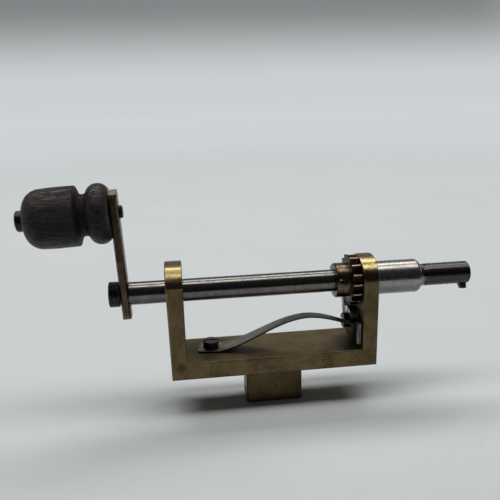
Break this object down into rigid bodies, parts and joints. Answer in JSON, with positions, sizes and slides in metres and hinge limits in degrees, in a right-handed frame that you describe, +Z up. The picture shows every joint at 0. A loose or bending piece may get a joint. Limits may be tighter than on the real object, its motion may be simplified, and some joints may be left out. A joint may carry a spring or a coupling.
{
  "type": "mainspring winder",
  "caption": "Bench winder for coiled mainsprings: brass yoke on a vice tongue, steel arbor with hooked nose, ratchet and click, leaning crank with a turned wood knob.",
  "frame": {"origin": "middle of the lower face of the tongue that goes in the vice", "axes": "+X along the arbor towards the hooked nose, +Z up, -Y the side towards the viewer in the picture"},
  "size_m": [0.1383, 0.0206, 0.0716],
  "materials": {
    "aged_brass": "aged, filed flat, bright on the arch tops",
    "bronze": "dark, worn brighter on the edges",
    "polished_steel": "turned and polished, fine scratches",
    "spring_steel": "dark grey, lengthways grain",
    "blued_steel": "blackened, worn on the rims",
    "dark_wood": "very dark hardwood, open grain, waxed"
  },
  "bodies": {
    "frame": {"yoke_frame": "aged_brass", "vise_tongue": "aged_brass", "click_spring": "spring_steel", "spring_screw": "blued_steel", "click_screw": "blued_steel"},
    "arbor_and_crank": {"arbor": "polished_steel", "arbor_hook": "blued_steel", "ratchet_wheel": "bronze", "wheel_pin": "polished_steel", "crank_arm": "bronze", "crank_screw": "blued_steel", "handle_pin": "blued_steel"},
    "click_body": {"click": "polished_steel"},
    "knob_body": {"handle_knob": "dark_wood"}
  },
  "joints": [
    {"name": "arbor_turn", "type": "hinge", "parent": "frame", "child": "arbor_and_crank", "pos_m": [0, 0, 0.038], "axis": [1, 0, 0], "continuous": true},
    {"name": "click_lift", "type": "hinge", "parent": "frame", "child": "click_body", "pos_m": [0.0259, -0.0005, 0.0245], "axis": [1, 0, 0], "range_deg": [-20, 0], "stiffness_Nm_per_rad": 0.02, "springref_deg": 17.19, "deforming": ["click_spring"]},
    {"name": "knob_spin", "type": "hinge", "parent": "arbor_and_crank", "child": "knob_body", "pos_m": [-0.0472, 0.00251, 0.06272], "axis": [0.9988, 0.0048, 0.0477], "continuous": true}
  ]
}
